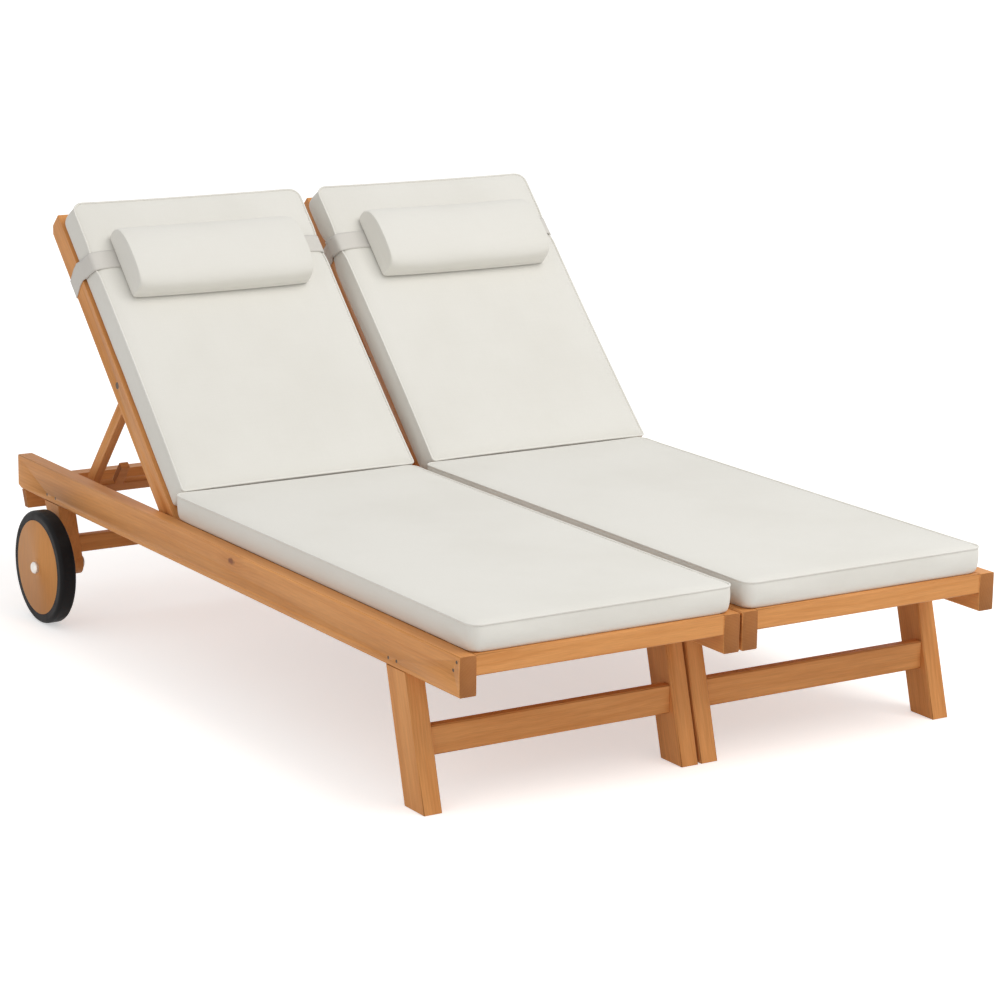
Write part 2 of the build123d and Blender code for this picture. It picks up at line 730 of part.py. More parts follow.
os.makedirs("parts", exist_ok=True)
for name, shape in nodes.items():
    export_step(shape, f"parts/{name}.step")
    print(name, round(shape.volume))
print("nodes", len(nodes))
print("hinge", hinge_y, hinge_z, "prop pivot", prop_pivot.position)
print("foot bar at rest", rest_bar_y, "rack top", rack_top)
print("prop ratio", -(backrest_angle + prop_angle) / backrest_angle)
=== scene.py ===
import math
import random

import bpy
from mathutils import Matrix, Vector, noise
from mathutils.bvhtree import BVHTree


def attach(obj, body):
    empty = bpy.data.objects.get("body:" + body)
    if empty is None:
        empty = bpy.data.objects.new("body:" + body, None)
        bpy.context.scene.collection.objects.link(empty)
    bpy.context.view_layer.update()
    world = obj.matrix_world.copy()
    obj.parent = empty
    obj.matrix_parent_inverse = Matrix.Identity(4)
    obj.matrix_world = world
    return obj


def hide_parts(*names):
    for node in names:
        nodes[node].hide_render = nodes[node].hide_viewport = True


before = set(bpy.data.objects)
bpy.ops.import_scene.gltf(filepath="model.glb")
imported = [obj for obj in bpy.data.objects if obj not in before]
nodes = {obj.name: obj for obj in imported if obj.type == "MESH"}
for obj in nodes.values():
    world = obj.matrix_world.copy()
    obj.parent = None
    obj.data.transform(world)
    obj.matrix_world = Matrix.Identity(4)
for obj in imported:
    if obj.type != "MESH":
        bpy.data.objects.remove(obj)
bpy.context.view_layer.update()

scene = bpy.context.scene

# The viewpoint. The camera stands to the left of the foot end, a little above the seats,
# about seven metres away behind a long lens, with the horizon nearly level.
camera = bpy.data.objects.new("camera", bpy.data.cameras.new("camera"))
scene.collection.objects.link(camera)
camera.data.sensor_width = 36
camera.data.lens = 114
camera.data.clip_end = 200
heading = Matrix.Rotation(math.radians(-32.46), 4, "Z")
pitch_down = Matrix.Rotation(math.radians(76.79), 4, "X")
lean = Matrix.Rotation(math.radians(0.8), 4, "Z")
viewpoint = Matrix.Translation((-3.6157, -5.7974, 1.9709))
camera.matrix_world = viewpoint @ heading @ pitch_down @ lean
scene.camera = camera

# The studio. A pale floor that runs out of sight under a white sky, one broad soft lamp high up in
# front, and a weaker one on the left, so that colours come out about as they are written.
scene.view_settings.view_transform = "Standard"


def put(tree, kind, feeds=(), **settings):
    """Adds a node, sets it up, and gives its inputs values or the outputs of other nodes."""
    node = tree.nodes.new(kind)
    for name, value in settings.items():
        setattr(node, name, value)
    for socket, feed in dict(feeds).items():
        if isinstance(feed, bpy.types.NodeSocket):
            tree.links.new(feed, node.inputs[socket])
        else:
            node.inputs[socket].default_value = feed
    return node


def blank_material(name):
    """A new material and its empty node tree."""
    material = bpy.data.materials.new(name)
    material.use_nodes = True
    material.node_tree.nodes.clear()
    return material, material.node_tree


def straight_rays(tree):
    """1 for the rays that see the backdrop itself: from the camera, off gloss and through glass."""
    seen = put(tree, "ShaderNodeLightPath").outputs
    either = put(tree, "ShaderNodeMath", {0: seen["Is Camera Ray"], 1: seen["Is Glossy Ray"]},
                 operation="MAXIMUM")
    either = put(tree, "ShaderNodeMath", {0: either.outputs[0], 1: seen["Is Transmission Ray"]},
                 operation="MAXIMUM")
    return either.outputs[0]


def mesh_piece(name, points, faces):
    """A new object with a mesh of its own."""
    mesh = bpy.data.meshes.new(name)
    mesh.from_pydata(points, [], faces)
    mesh.validate()
    piece = bpy.data.objects.new(name, mesh)
    scene.collection.objects.link(piece)
    return piece


floor_reach, floor_drop = 60, 0.0005
glow_start, glow_end = 1.3, 4.5
glow_near, glow_far = 0.50, 0.68
floor_corners = [(x * floor_reach, y * floor_reach, -floor_drop)
                 for x, y in ((-1, -1), (1, -1), (1, 1), (-1, 1))]
floor = mesh_piece("floor", floor_corners, [(0, 1, 2, 3)])
floor_paint, tree = blank_material("pale_floor")
spot = put(tree, "ShaderNodeTexCoord")
reach = put(tree, "ShaderNodeVectorMath", {0: spot.outputs["Object"]}, operation="LENGTH")
far = put(tree, "ShaderNodeMapRange",
          {0: reach.outputs["Value"], 1: glow_start, 2: glow_end, 3: glow_near, 4: glow_far},
          interpolation_type="SMOOTHSTEP")
matt = put(tree, "ShaderNodeBsdfDiffuse", {"Color": (0.87, 0.86, 0.845, 1)})
glow = put(tree, "ShaderNodeEmission", {"Color": (1, 1, 1, 1), "Strength": far.outputs[0]})
both = put(tree, "ShaderNodeAddShader", {0: matt.outputs[0], 1: glow.outputs[0]})
either = put(tree, "ShaderNodeMixShader", {0: straight_rays(tree), 1: matt.outputs[0], 2: both.outputs[0]})
put(tree, "ShaderNodeOutputMaterial", {"Surface": either.outputs[0]})
floor.data.materials.append(floor_paint)

scene.world = bpy.data.worlds.new("white_sky")
scene.world.use_nodes = True
tree = scene.world.node_tree
tree.nodes.clear()
sky = put(tree, "ShaderNodeBackground", {"Color": (0.985, 0.99, 1, 1), "Strength": 0.62})
white = put(tree, "ShaderNodeBackground", {"Color": (1, 1, 1, 1), "Strength": 1})
either = put(tree, "ShaderNodeMixShader", {0: straight_rays(tree), 1: sky.outputs[0], 2: white.outputs[0]})
put(tree, "ShaderNodeOutputWorld", {"Surface": either.outputs[0]})

lamp_target = Vector((0, 0.1, 0.3))
for lamp_name, place, width, power, tint in (
        ("broad_lamp", (1.6, -3.2, 5.3), 3.4, 155, (1, 0.985, 0.955)),
        ("side_lamp", (-4.8, -1.5, 2.6), 3.0, 20, (1, 0.95, 0.88))):
    lamp = bpy.data.objects.new(lamp_name, bpy.data.lights.new(lamp_name, "AREA"))
    scene.collection.objects.link(lamp)
    lamp.data.size = width
    lamp.data.energy = power
    lamp.data.color = tint
    lamp.location = place
    lamp.rotation_mode = "QUATERNION"
    lamp.rotation_quaternion = (lamp_target - Vector(place)).to_track_quat("-Z", "Y")

# The side rails. Four planed boards of oiled hardwood, 80 by 38 mm, their long edges eased with a
# plane. The wood is straight-grained honey brown with darker streaks and a few small knots.
rail_colour = (0.75, 0.345, 0.115, 1)
rail_streak = (0.56, 0.212, 0.052, 1)
rail_end_grain = (0.33, 0.122, 0.034, 1)
knot_colour = (0.20, 0.052, 0.018, 1)
knot_stretch = 0.45
rings_per_metre = 170
rail_edge, slat_edge = 0.0011, 0.0008
sharp_turn, longest_curve_step = 0.6, 0.009


def figure_group(name, inputs):
    """An empty shader group with its inputs, and the colour, roughness and height that it puts out."""
    tree = bpy.data.node_groups.new(name, "ShaderNodeTree")
    for label, (kind, value) in inputs.items():
        socket = tree.interface.new_socket(label, in_out="INPUT", socket_type="NodeSocket" + kind)
        socket.default_value = value
    for label, kind in (("Colour", "Color"), ("Roughness", "Float"), ("Height", "Float")):
        tree.interface.new_socket(label, in_out="OUTPUT", socket_type="NodeSocket" + kind)
    return tree, tree.nodes.new("NodeGroupInput").outputs, tree.nodes.new("NodeGroupOutput").inputs


def put_out(tree, wanted, colour, roughness, height):
    """Leads what a group has worked out to its outputs."""
    for label, feed in (("Colour", colour), ("Roughness", roughness), ("Height", height)):
        tree.links.new(feed, wanted[label])


def sum_of(tree, operation, *feeds, clamp=False):
    """Reckons with numbers."""
    return put(tree, "ShaderNodeMath", enumerate(feeds), operation=operation, use_clamp=clamp).outputs[0]


def vector_of(tree, operation, *feeds, out=0):
    """Reckons with vectors. Lengths and products come out of the second output."""
    return put(tree, "ShaderNodeVectorMath", enumerate(feeds), operation=operation).outputs[out]


def run_along(tree, place, way):
    """How far a place lies along a direction."""
    return vector_of(tree, "DOT_PRODUCT", place, way, out=1)


def blend_of(tree, share, first, second, blend_type="MIX"):
    """Mixes two colours, from the first at 0 to the second at 1."""
    node = put(tree, "ShaderNodeMix", {0: share, 6: first, 7: second},
               data_type="RGBA", blend_type=blend_type)
    return node.outputs[2]


def step_of(tree, value, low, high):
    """0 below the low value, 1 above the high one, and smooth between."""
    node = put(tree, "ShaderNodeMapRange", {0: value, 1: low, 2: high}, interpolation_type="SMOOTHSTEP")
    return node.outputs[0]


def speckle(tree, place, stretch, detail, out="Fac"):
    """Noise whose grain is stretched by a different amount along each axis."""
    stretched = vector_of(tree, "MULTIPLY", place, stretch)
    return put(tree, "ShaderNodeTexNoise", {"Vector": stretched, "Scale": 1, "Detail": detail}).outputs[out]


tree, given, wanted = figure_group("timber_figure", {
    "Place": ("Vector", (0, 0, 0)), "Facing": ("Vector", (0, 0, 1)), "Grain": ("Vector", (1, 0, 0)),
    "Across": ("Vector", (0, 1, 0)), "Boards": ("Vector", (0, 0, 0)), "Board Start": ("Float", 0.0),
    "Board": ("Float", 0.0), "Colour": ("Color", (1, 1, 1, 1)), "Streak": ("Color", (1, 1, 1, 1)),
    "End Grain": ("Color", (1, 1, 1, 1)), "Contrast": ("Float", 1.0),
    "Knot Place": ("Vector", (9, 9, 9)), "Knot Size": ("Float", 0.006)})
# The place in the board's own directions, moved by chance, so that no two boards are alike.
depth_way = vector_of(tree, "CROSS_PRODUCT", given["Grain"], given["Across"])
ways = (given["Grain"], given["Across"], depth_way)
along, across, deep = (run_along(tree, given["Place"], way) for way in ways)
board_count = run_along(tree, given["Place"], given["Boards"])
board_number = sum_of(tree, "FLOOR", sum_of(tree, "ADD", board_count, given["Board Start"]))
seed = sum_of(tree, "MULTIPLY_ADD", board_number, 3.37, given["Board"])
chance = put(tree, "ShaderNodeTexWhiteNoise", {"W": seed}, noise_dimensions="1D")
place = put(tree, "ShaderNodeCombineXYZ", {0: along, 1: across, 2: deep}).outputs[0]
place = vector_of(tree, "ADD", place, vector_of(tree, "MULTIPLY", chance.outputs["Color"], (7, 3, 3)))

# One knot: a dark core, and a halo in which the rings bend.
knot_gap = vector_of(tree, "SUBTRACT", given["Place"], given["Knot Place"])
knot_along, knot_across = (run_along(tree, knot_gap, way) for way in ways[:2])
knot_run = sum_of(tree, "MULTIPLY", knot_along, knot_stretch)
knot_reach = put(tree, "ShaderNodeCombineXYZ", {0: knot_run, 1: knot_across})
knot_distance = vector_of(tree, "LENGTH", knot_reach.outputs[0], out=1)
knot_ratio = sum_of(tree, "DIVIDE", knot_distance, given["Knot Size"])
knot_wobble = sum_of(tree, "MULTIPLY_ADD", speckle(tree, place, (90, 90, 90), 2), 0.8, knot_ratio)
knot_core = sum_of(tree, "SUBTRACT", 1, step_of(tree, knot_wobble, 0.75, 1.45))
knot_halo = sum_of(tree, "SUBTRACT", 1, step_of(tree, knot_ratio, 0.8, 4.2))

# Year rings about a pith outside the board, streaks, clouds and fibres, mixed into one figure.
drift = vector_of(tree, "SUBTRACT", speckle(tree, place, (1.3, 0.6, 0.6), 1, "Color"), (0.5, 0.5, 0.5))
pith = vector_of(tree, "MULTIPLY_ADD", chance.outputs["Color"], (0, 0.16, 0.10), (0, 0.10, 0.16))
section = put(tree, "ShaderNodeCombineXYZ", {1: across, 2: deep}).outputs[0]
from_pith = vector_of(tree, "MULTIPLY_ADD", drift, (0, 0.035, 0.035), vector_of(tree, "ADD", section, pith))
radius = vector_of(tree, "LENGTH", from_pith, out=1)
radius = sum_of(tree, "MULTIPLY_ADD", speckle(tree, place, (6, 16, 16), 2), 0.005, radius)
radius = sum_of(tree, "MULTIPLY_ADD", knot_halo, 0.007, radius)
ring = sum_of(tree, "FRACT", sum_of(tree, "MULTIPLY", radius, rings_per_metre))
ring_start = step_of(tree, ring, 0.25, 0.92)
ring_stop = sum_of(tree, "SUBTRACT", 1, step_of(tree, ring, 0.94, 1.0))
late_wood = sum_of(tree, "MULTIPLY", ring_start, ring_stop)
ring_strength = speckle(tree, place, (1.6, 30, 30), 1)
streaks = step_of(tree, speckle(tree, place, (3.2, 62, 62), 4), 0.34, 0.72)
clouds = step_of(tree, speckle(tree, place, (2.6, 11, 11), 2), 0.28, 0.74)
fibres = speckle(tree, place, (24, 560, 560), 3)
figure = sum_of(tree, "MULTIPLY", late_wood, sum_of(tree, "MULTIPLY", ring_strength, 0.30))
figure = sum_of(tree, "MULTIPLY_ADD", streaks, 0.42, figure)
figure = sum_of(tree, "MULTIPLY_ADD", clouds, 0.24, figure)
figure = sum_of(tree, "MULTIPLY_ADD", chance.outputs["Value"], 0.12, figure)
figure = sum_of(tree, "MULTIPLY_ADD", sum_of(tree, "SUBTRACT", figure, 0.34), given["Contrast"], 0.26)
figure = sum_of(tree, "MULTIPLY_ADD", knot_halo, 0.30, figure, clamp=True)

# The colours: wood, end grain, knot, and the light and dark of single fibres.
colour = blend_of(tree, figure, given["Colour"], given["Streak"])
grain_facing = sum_of(tree, "ABSOLUTE", run_along(tree, given["Facing"], given["Grain"]))
end_face = step_of(tree, grain_facing, 0.72, 0.9)
end_tint = blend_of(tree, sum_of(tree, "MULTIPLY", late_wood, 0.12), given["End Grain"], knot_colour)
colour = blend_of(tree, sum_of(tree, "MULTIPLY", end_face, 0.85), colour, end_tint)
colour = blend_of(tree, sum_of(tree, "MULTIPLY", knot_core, 0.88), colour, knot_colour)
shade = put(tree, "ShaderNodeMapRange", {0: fibres, 1: 0.25, 2: 0.75, 3: 0.90, 4: 1.08}).outputs[0]
fibre_shade = put(tree, "ShaderNodeCombineColor", {0: shade, 1: shade, 2: shade}).outputs[0]
colour = blend_of(tree, 1.0, colour, fibre_shade, "MULTIPLY")
rough = sum_of(tree, "MULTIPLY_ADD", fibres, 0.16, 0.42)
rough = sum_of(tree, "MULTIPLY_ADD", end_face, 0.14, rough)
height = sum_of(tree, "MULTIPLY_ADD", late_wood, 0.35, fibres)
height = sum_of(tree, "MULTIPLY_ADD", knot_core, -0.5, height)
put_out(tree, wanted, colour, rough, height)
timber_figure = tree

board_seeds = random.Random(41)
seed_range = 90


def surfaced(name, group, values, bump, shine):
    """A material whose colour, roughness and relief a group works out in the object's own space."""
    material, tree = blank_material(name)
    spot = put(tree, "ShaderNodeTexCoord")
    figure = put(tree, "ShaderNodeGroup", {"Place": spot.outputs["Object"], **values}, node_tree=group)
    if "Facing" in figure.inputs:
        tree.links.new(spot.outputs["Normal"], figure.inputs["Facing"])
    strength, distance = bump
    relief = put(tree, "ShaderNodeBump", {
        "Height": figure.outputs["Height"], "Strength": strength, "Distance": distance})
    surface = put(tree, "ShaderNodeBsdfPrincipled", {
        "Base Color": figure.outputs["Colour"], "Roughness": figure.outputs["Roughness"],
        "Normal": relief.outputs[0], **shine})
    put(tree, "ShaderNodeOutputMaterial", {"Surface": surface.outputs[0]})
    return material


def timber(name, grain, across, boards=(0, 0, 0), board_start=0.0, knot=None, contrast=1.0):
    """Oiled wood with its grain along one way and its broad face across another."""
    values = {"Grain": grain, "Across": across, "Boards": boards, "Board Start": board_start,
              "Board": board_seeds.uniform(0, seed_range), "Colour": rail_colour, "Streak": rail_streak,
              "Contrast": contrast, "End Grain": rail_end_grain}
    if knot:
        values["Knot Place"], values["Knot Size"] = knot
    return surfaced("timber_" + name, timber_figure, values, (0.25, 0.0006), {"Specular IOR Level": 0.24})


# Nodes that merge a board's faces, shade it by its sharp edges, and mark the long ones for easing.
planed = bpy.data.node_groups.new("planed_edges", "GeometryNodeTree")
planed.interface.new_socket("Geometry", in_out="INPUT", socket_type="NodeSocketGeometry")
planed.interface.new_socket("Geometry", in_out="OUTPUT", socket_type="NodeSocketGeometry")
shape = planed.nodes.new("NodeGroupInput").outputs[0]
shape = put(planed, "GeometryNodeMergeByDistance", {"Geometry": shape, "Distance": 0.00002}).outputs[0]
shape = put(planed, "GeometryNodeSetMeshNormal", {"Mesh": shape, "Remove Custom": True},
            mode="SHARPNESS").outputs[0]
angle = put(planed, "GeometryNodeInputMeshEdgeAngle").outputs["Unsigned Angle"]
ends = put(planed, "GeometryNodeInputMeshEdgeVertices").outputs
run = put(planed, "ShaderNodeVectorMath", {0: ends["Position 1"], 1: ends["Position 2"]},
          operation="DISTANCE").outputs["Value"]
steep = put(planed, "FunctionNodeCompare", {0: angle, 1: sharp_turn}, operation="GREATER_THAN").outputs[0]
lengthy = put(planed, "FunctionNodeCompare", {0: run, 1: longest_curve_step},
              operation="GREATER_THAN").outputs[0]
worn = put(planed, "FunctionNodeBooleanMath", {0: steep, 1: lengthy}, operation="AND").outputs[0]
shape = put(planed, "GeometryNodeStoreNamedAttribute",
            {"Geometry": shape, "Name": "bevel_weight_edge", "Value": worn},
            data_type="FLOAT", domain="EDGE").outputs[0]
shape = put(planed, "GeometryNodeSetShadeSmooth", {0: shape, "Shade Smooth": True}).outputs[0]
planed.links.new(shape, planed.nodes.new("NodeGroupOutput").inputs[0])


def dress(name, grain, across, edge=rail_edge, **figure):
    """Gives a carried-over board its wood and takes the sharpness off its edges."""
    board = nodes[name]
    board.material_slots[0].material = timber(name, grain, across, **figure)
    planing = board.modifiers.new("planed", "NODES")
    planing.node_group = planed
    ease = board.modifiers.new("eased", "BEVEL")
    ease.limit_method = "WEIGHT"
    ease.width = edge
    ease.segments = 2
    ease.use_clamp_overlap = False
    ease.harden_normals = True


lengthways, sideways, upright = (0, 1, 0), (1, 0, 0), (0, 0, 1)
rail_knots = {"left_outer": ((-0.648, -0.088, 0.327), 0.0085), "left_inner": ((-0.003, 0.35, 0.31), 0.006),
              "right_inner": ((0.003, -0.45, 0.29), 0.005), "right_outer": ((0.648, 0.22, 0.32), 0.006)}
for rail, knot in rail_knots.items():
    dress(f"{rail}_rail", lengthways, upright, knot=knot)

# The foot rails, seat end rails, stretchers and tail boards. Short boards of the same wood, tenoned
# between the side rails or the legs, with their grain across the lounger.
for lounger in ("left", "right"):
    for cross_board in ("foot_rail", "seat_end_rail", "front_stretcher", "rear_stretcher", "tail_board"):
        dress(f"{lounger}_{cross_board}", sideways, upright)

# The front and rear legs. The front ones lean towards the foot end; all are lapped into the rails.
# The outer rear legs end round at the wheels, the inner ones stand on the ground. Their grain runs
# down them.
front_lean = math.radians(15.5)
down_leg = (0, math.sin(front_lean), math.cos(front_lean))
over_leg = (0, math.cos(front_lean), -math.sin(front_lean))
for lounger in ("left", "right"):
    for side in ("outer", "inner"):
        dress(f"{lounger}_{side}_front_leg", down_leg, over_leg)
        dress(f"{lounger}_{side}_rear_leg", upright, lengthways)

# The seat slats, their cleats and the notched racks behind them. Fourteen thin slats lie on two cleats
# in each lounger, each cut from another board, so that their colours differ a little.
slat_pitch, slat_start = 0.087923, 11.15
lounger_offset = 0.3255
one_by_one = (1 / lounger_offset, 0, 0)
for lounger in ("left", "right"):
    dress(f"{lounger}_seat_slats", sideways, lengthways, slat_edge, boards=(0, 1 / slat_pitch, 0),
          board_start=slat_start)
    for pair in ("seat_cleats", "prop_racks"):
        dress(f"{lounger}_{pair}", lengthways, upright, slat_edge, boards=one_by_one)

# The backrests. Two stiles with eight slats let into them and a top rail, which turn on a bolt in
# each side rail. Their grain runs up the stiles and across the slats.
tilt = math.radians(45.5)
up_back = (0, math.cos(tilt), math.sin(tilt))
off_back = (0, -math.sin(tilt), math.cos(tilt))
hinge = Vector((0, 0.272, 0.319))
back_slat_pitch, back_slat_gap = 0.097714, 0.016
back_slat_start = -(hinge.dot(Vector(up_back)) + back_slat_gap) / back_slat_pitch
back_rows = [part / back_slat_pitch for part in up_back]
for lounger in ("left", "right"):
    for side in ("outer", "inner"):
        dress(f"{lounger}_{side}_stile", up_back, off_back)
    dress(f"{lounger}_backrest_top_rail", sideways, off_back)
    dress(f"{lounger}_backrest_slats", sideways, up_back, slat_edge, boards=back_rows,
          board_start=back_slat_start)

# The props. Two struts bolted inside the stiles and a foot bar with two pegs, which stands on the
# notched racks. All are planed from the same wood.
prop_slope = math.radians(50)
down_prop = (0, math.cos(prop_slope), -math.sin(prop_slope))
off_prop = (0, math.sin(prop_slope), math.cos(prop_slope))
for lounger in ("left", "right"):
    dress(f"{lounger}_prop_struts", down_prop, off_prop, boards=one_by_one)
    dress(f"{lounger}_prop_foot_bar", sideways, off_prop)

# The bolts, washers, stub axles and caps. Zinc-plated steel with a soft, slightly clouded shine; the
# caps over the axles are paler, and the screws and pivot bolts have gone brown.
tree, given, wanted = figure_group("clouded_metal", {
    "Place": ("Vector", (0, 0, 0)), "Dark": ("Color", (0, 0, 0, 1)), "Light": ("Color", (1, 1, 1, 1))})
smudge = speckle(tree, given["Place"], (160, 160, 160), 4)
scratch = speckle(tree, given["Place"], (60, 1500, 1500), 2)
put_out(tree, wanted, blend_of(tree, smudge, given["Dark"], given["Light"]),
        sum_of(tree, "MULTIPLY_ADD", smudge, 0.25, 0.26), scratch)
clouded_metal = tree


def plated(name, dark, light):
    """Plated metal, clouded and finely scratched."""
    return surfaced(name, clouded_metal, {"Dark": dark, "Light": light}, (0.12, 0.0002), {"Metallic": 1.0})


zinc = plated("zinc_plate", (0.42, 0.41, 0.40, 1), (0.66, 0.65, 0.63, 1))
pale_cap = plated("pale_cap", (0.62, 0.59, 0.55, 1), (0.84, 0.81, 0.77, 1))
browned = plated("browned_steel", (0.040, 0.027, 0.018, 1), (0.13, 0.092, 0.062, 1))
for name in ("stub_axles", "axle_washers", "backrest_hinge_bolts", "joining_bolts"):
    nodes[name].material_slots[0].material = zinc
for name in ("frame_screws", "left_prop_pivot_bolts", "right_prop_pivot_bolts"):
    nodes[name].material_slots[0].material = browned
nodes["hub_caps"].material_slots[0].material = pale_cap

# The wheels. A plain disc sawn from one board, with a solid rubber tyre stretched over it. The
# rubber is near black, a little dusty on the tread.
disc_contrast = 0.2
for lounger in ("left", "right"):
    dress(f"{lounger}_wheel_disc", upright, lengthways, contrast=disc_contrast)

tree, given, wanted = figure_group("dusty_rubber", {"Place": ("Vector", (0, 0, 0))})
clean_rubber, dusty_rubber = (0.0055, 0.005, 0.0055, 1), (0.018, 0.016, 0.015, 1)
dust = step_of(tree, speckle(tree, given["Place"], (40, 40, 40), 5), 0.42, 0.78)
grit = speckle(tree, given["Place"], (900, 900, 900), 2)
put_out(tree, wanted, blend_of(tree, sum_of(tree, "MULTIPLY", dust, 0.5), clean_rubber, dusty_rubber),
        sum_of(tree, "MULTIPLY_ADD", dust, 0.2, 0.48), grit)
tyre_rubber = surfaced("tyre_rubber", tree, {}, (0.2, 0.0003), {"Specular IOR Level": 0.15})
for lounger in ("left", "right"):
    nodes[f"{lounger}_tyre"].material_slots[0].material = tyre_rubber

# The seat cushions. Foam slabs in a boxed cover of ecru canvas: a flat top and bottom panel, a
# side band, and a thin welt sewn into the top seam. They lie loose on the slats and side rails.
tree, given, wanted = figure_group("plain_weave", {
    "Place": ("Vector", (0, 0, 0)), "Facing": ("Vector", (0, 0, 1)), "Thread": ("Float", 0.0011),
    "Light": ("Color", (1, 1, 1, 1)), "Dark": ("Color", (1, 1, 1, 1))})
turn_rate = sum_of(tree, "DIVIDE", math.pi, given["Thread"])
turns = put(tree, "ShaderNodeVectorMath", {0: given["Place"], "Scale": turn_rate},
            operation="SCALE").outputs[0]
waves = put(tree, "ShaderNodeSeparateXYZ", {0: vector_of(tree, "SINE", turns)}).outputs
weights = put(tree, "ShaderNodeSeparateXYZ", {0: vector_of(tree, "ABSOLUTE", given["Facing"])}).outputs
weave = sum_of(tree, "MULTIPLY", sum_of(tree, "MULTIPLY", waves[0], waves[1]), weights[2])
weave = sum_of(tree, "MULTIPLY_ADD", sum_of(tree, "MULTIPLY", waves[1], waves[2]), weights[0], weave)
weave = sum_of(tree, "MULTIPLY_ADD", sum_of(tree, "MULTIPLY", waves[0], waves[2]), weights[1], weave)
slubs_one = speckle(tree, given["Place"], (30, 800, 800), 2)
slubs_two = speckle(tree, given["Place"], (800, 30, 300), 2)
slubs = sum_of(tree, "MULTIPLY_ADD", slubs_one, 0.5, sum_of(tree, "MULTIPLY", slubs_two, 0.5))
soiling = step_of(tree, speckle(tree, given["Place"], (3.5, 3.5, 3.5), 3), 0.35, 0.75)
tint = sum_of(tree, "MULTIPLY_ADD", slubs, 0.5, sum_of(tree, "MULTIPLY", soiling, 0.35))
tint = sum_of(tree, "MULTIPLY_ADD", weave, 0.12, tint, clamp=True)
relief = sum_of(tree, "MULTIPLY_ADD", slubs, 0.7, sum_of(tree, "MULTIPLY", weave, 0.5))
put_out(tree, wanted, blend_of(tree, tint, given["Light"], given["Dark"]),
        sum_of(tree, "MULTIPLY_ADD", slubs, 0.12, 0.82), relief)
plain_weave = tree


def woven(name, light, dark, thread):
    """Woven cover cloth with a soft sheen."""
    return surfaced(name, plain_weave, {"Thread": thread, "Light": light, "Dark": dark}, (0.35, 0.0004),
                    {"Sheen Weight": 0.18, "Sheen Roughness": 0.5, "Specular IOR Level": 0.2})


canvas_thread = 0.0011
ecru = woven("ecru_canvas", (0.83, 0.815, 0.765, 1), (0.74, 0.72, 0.66, 1), canvas_thread)
# The welt's canvas is the cover's canvas painted a little lighter: a painted highlight along the welt's
# ridge.
welt_cloth_painted_highlight = woven("welt_canvas_painted_highlight", (0.86, 0.845, 0.80, 1), (0.76, 0.74, 0.68, 1), canvas_thread)

seat_width = 0.606
foam_corner = 0.026
seam_height = 0.0525
panel_loft = 0.0062
side_bow, end_bow = 0.0020, 0.0014
edge_steps = (0, 0.0025, 0.0055, 0.010, 0.017, 0.028)
tight_steps = (0, 0.0015, 0.004, 0.008, 0.014, 0.022)
panel_cell = 0.020
seat_band = ((0.047, 0.0008), (0.037, 0.0014), (0.027, 0.0012), (0.017, 0.0002), (0.010, -0.0012),
             (0.005, -0.0026), (0.0018, -0.0048), (0.0004, -0.0072))
floor_tuck, band_ripple, seam_hold = 1.12, 0.0006, 0.6
lounger_centre = {"left": -lounger_offset, "right": lounger_offset}
seat_centre = {"left": -0.3170, "right": 0.3165}


def graded(half, low_steps=edge_steps):
    """Places across a panel, close together near its edges."""
    inner_low, inner_high = -half + low_steps[-1], half - edge_steps[-1]
    count = round((inner_high - inner_low) / panel_cell)
    inner = [inner_low + (inner_high - inner_low) * step / count for step in range(1, count)]
    return [-half + step for step in low_steps] + inner + [half - step for step in reversed(edge_steps)]


def rounded_in(x, y, half_x, half_y, low_corner, high_corner):
    """Pulls a point of a square grid in, so that the grid gets round corners."""
    corner = low_corner if y < 0 else high_corner
    past_x, past_y = (abs(x) - half_x + corner) / corner, (abs(y) - half_y + corner) / corner
    if past_x <= 0 or past_y <= 0:
        return x, y
    x_out = half_x - corner + corner * past_x * math.sqrt(1 - past_y * past_y / 2)
    y_out = half_y - corner + corner * past_y * math.sqrt(1 - past_x * past_x / 2)
    return math.copysign(x_out, x), math.copysign(y_out, y)


def way_out(x, y, half_x, half_y, low_corner, high_corner):
    """Distance inwards from the rounded edge, and the direction straight out through it."""
    corner = low_corner if y < 0 else high_corner
    past_x, past_y = abs(x) - half_x + corner, abs(y) - half_y + corner
    gap = corner - math.hypot(max(past_x, 0), max(past_y, 0)) - min(max(past_x, past_y), 0)
    if past_x > 0 and past_y > 0:
        way = Vector((math.copysign(past_x, x), math.copysign(past_y, y), 0)).normalized()
    elif past_x > past_y:
        way = Vector((math.copysign(1, x), 0, 0))
    else:
        way = Vector((0, math.copysign(1, y), 0))
    return gap, way


def panel_rise(x, y, gap, seed):
    """How far the top panel stands above its seam, that far in from the edge, with its uneven spots."""
    crown = 0.80 * (1 - math.exp(-gap / 0.010)) + 0.20 * (1 - math.exp(-gap / 0.080))
    furrow = 0.0012 * math.exp(-((gap - 0.003) / 0.002) ** 2)
    swell = noise.noise(Vector((x * 5, y * 5, seed))) * 0.0010 * min(1, gap / 0.08)
    pucker = noise.noise(Vector((x * 38, y * 38, seed))) * 0.0007 * math.exp(-gap / 0.03)
    return panel_loft * crown - furrow + swell + pucker * min(1, gap / 0.006)


def free_side(x, along, height, outset):
    """How far the band stands out where no strap draws it in."""
    return outset


def free_top(gap, along):
    """How far the top is pressed down where no strap lies on it."""
    return 0


